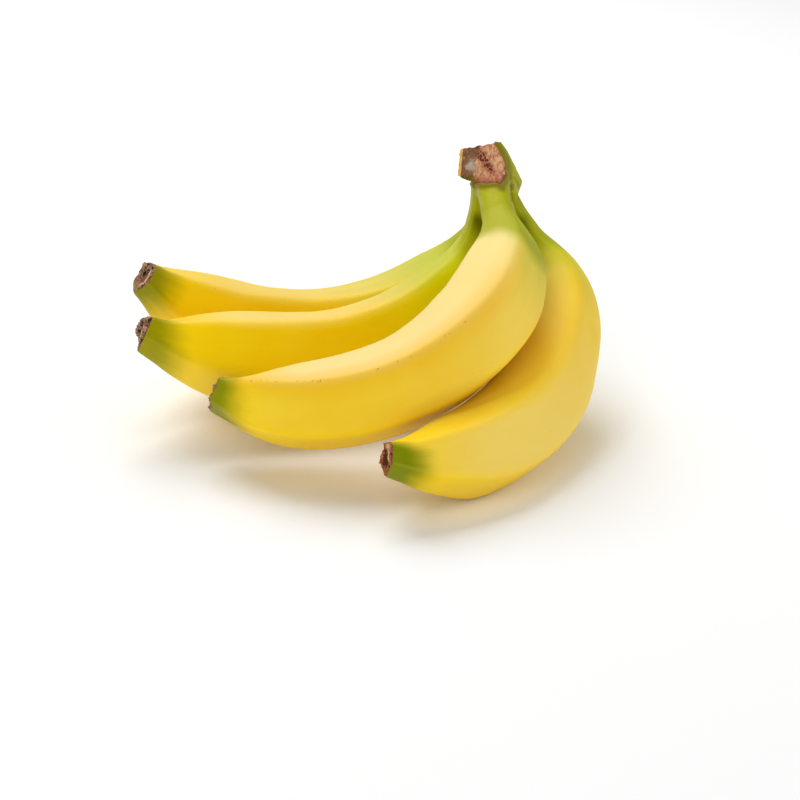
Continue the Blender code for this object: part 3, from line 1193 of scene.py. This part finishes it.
    def build(self) -> Piece:
        """Build the crown, wear its cut faces and mark them.

        Returns:
            The crown.
        """
        bm = self.fused()
        back = self.place.inverted()
        marks = Marks(bm, (*Marks.SKIN, *self.MARKS), "skin")
        for vert in bm.verts:
            local = (back @ vert.co) / MM
            path, share = self.spots[self.tree.find(local)[1]]
            centre, _, inner, across = path.axes(share)
            arm = local - centre
            marks.skin(vert, path, share, math.atan2(arm.dot(across), arm.dot(inner)), rim=0)
            x, up = local.x, FACE_UP_Z * local.z + FACE_UP_Y * local.y
            facing = vert.normal.dot(FACE_OUT)
            cut = inside(self.cut_outline, x, up) if facing > -0.62 and local.z > -4 else -OFF_CUT
            shown = ease(-0.7, 0.7, cut)
            light = crease = fold = 0
            if facing > 0:
                # painted highlight: a pale line just beside the crease
                light = bell(0, 0.35, distance_to(self.crease, x + 0.9, up))
                # the crease and fold masks carry painted shade, and wear() also dents them
                crease = bell(0, 0.75, distance_to(self.crease, x, up))
                fold = bell(0, 0.5, distance_to(self.fold, x, up))
            old = ease(-4.5, 0, cut) if cut > -OFF_CUT else 0.45 * ease(-6, 2, local.z)
            marks.put(vert, cut=shown, light=light, groove=max(crease, fold), old=old)
            marks.put(vert, **self.face_marks(x, up, cut))
            vert.co += vert.normal * MM * self.wear(local, cut, shown, crease, fold)
        piece = finished("crown_stalk", bm)
        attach(piece, "root")
        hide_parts("crown")
        return piece

    def wear(self, spot: Vector, cut: float, shown: float, crease: float, fold: float) -> float:
        """Return how far the surface is raised, in mm.

        Args:
            spot: where it is, in mm.
            cut: how far it lies inside the cut faces, in mm.
            shown: 1 on the cut faces, 0 on the skin.
            crease: 1 in the deep crease between two necks.
            fold: 1 in a fine fold of the skin.

        Returns:
            The height, positive outwards.
        """
        chips = noise.fractal(spot * 0.45, 0.8, 2, 5)
        grain = noise.fractal(Vector((spot.x * 1.5, spot.y * 0.7, spot.z * 0.7)), 0.8, 2, 4)
        bare = shown * (0.38 * chips + 0.22 * grain - 0.25)
        skin = (1 - shown) * 0.16 * noise.noise(spot * 0.5) * ease(-9, 0, spot.z)
        lip = 0.35 * bell(-0.6, 0.6, cut)
        return bare + skin + lip - 0.6 * crease - 0.35 * fold


class Lamp(Enum):
    """The soft square lamps: where each hangs and its side, in metres, and how bright its face looks.

    A face of brightness 1 looks like a white card in full light.
    """

    BACK = ((-0.25, 1.25, 0.64), 1.1, 0.5)
    TOP = ((-0.35, 0.55, 1.15), 1, 4.3)
    RIGHT = ((1.3, 0, 0.55), 0.9, 2.1)
    LOW = ((0, -1.35, 0.35), 0.9, 1.2)
    FRONT = ((-0.55, -1.15, 0.95), 1, 1.9)

    def hang(self) -> None:
        """Hang the lamp so that it faces the bunch."""
        place, size, glow = self.value
        data = bpy.data.lights.new("softbox_" + self.name.lower(), "AREA")
        data.shape = "SQUARE"
        data.size = size
        data.energy = glow * pi * size * size
        lamp = placed(data.name, data)
        lamp.location = place
        lamp.rotation_euler = (LAMPS_FACE - Vector(place)).to_track_quat("-Z", "Y").to_euler()


@dataclass
class Studio:
    """Pale floor, soft light and the camera."""

    elevation: float = 23.7
    distance: float = 0.778
    lens: float = 90
    sensor: float = 36
    near: float = 0.01
    far: float = 20
    aim_right: float = -36.2 * MM
    aim_up: float = -85.6 * MM
    floor_size: float = 6
    sky: float = 0.25

    def camera(self) -> None:
        """Stand the camera where it looks down on the bunch from the front."""
        low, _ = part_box("crown")
        tilt = radians(self.elevation)
        right = Vector((1, 0, 0))
        up = Vector((0, sin(tilt), cos(tilt)))
        back = Vector((0, -cos(tilt), sin(tilt)))
        data = bpy.data.cameras.new("camera")
        data.lens, data.sensor_width = self.lens, self.sensor
        data.clip_start, data.clip_end = self.near, self.far
        camera = placed("camera", data)
        aim = low + ROOTS_IN_CROWN + right * self.aim_right + up * self.aim_up
        camera.location = aim + back * self.distance
        camera.rotation_euler = Matrix((right, up, back)).transposed().to_euler()
        bpy.context.scene.camera = camera

    def floor(self) -> None:
        """Lay a wide pale floor."""
        bm = bmesh.new()
        bmesh.ops.create_grid(bm, x_segments=1, y_segments=1, size=self.floor_size)
        floor = finished("floor", bm)
        net = Net("floor")
        net.set("Base Color", linear(250, 250, 250))
        net.set("Roughness", 0.9)
        net.set("Specular IOR Level", 0.2)
        net.dress([floor])

    def build(self) -> None:
        """Set the whole studio."""
        self.floor()
        self.camera()
        for lamp in Lamp:
            lamp.hang()
        world = bpy.data.worlds.new("studio")
        world.use_nodes = True
        sky = world.node_tree.nodes["Background"]
        sky.inputs["Color"].default_value = (1, 1, 1, 1)
        sky.inputs["Strength"].default_value = self.sky
        bpy.context.scene.world = world
        bpy.context.scene.view_settings.view_transform = "Standard"


def main() -> None:
    """Build the bunch in its studio."""
    logging.basicConfig(level=logging.INFO)
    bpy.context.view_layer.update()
    Studio().build()
    peel = PeelFinish()
    peel.dress([Banana(shape).build() for shape in FINGERS])
    BlossomFinish().dress([end.build() for end in BLOSSOM_ENDS])
    CrownFinish().dress(Crown().build(), peel)


if __name__ == "__main__":
    main()
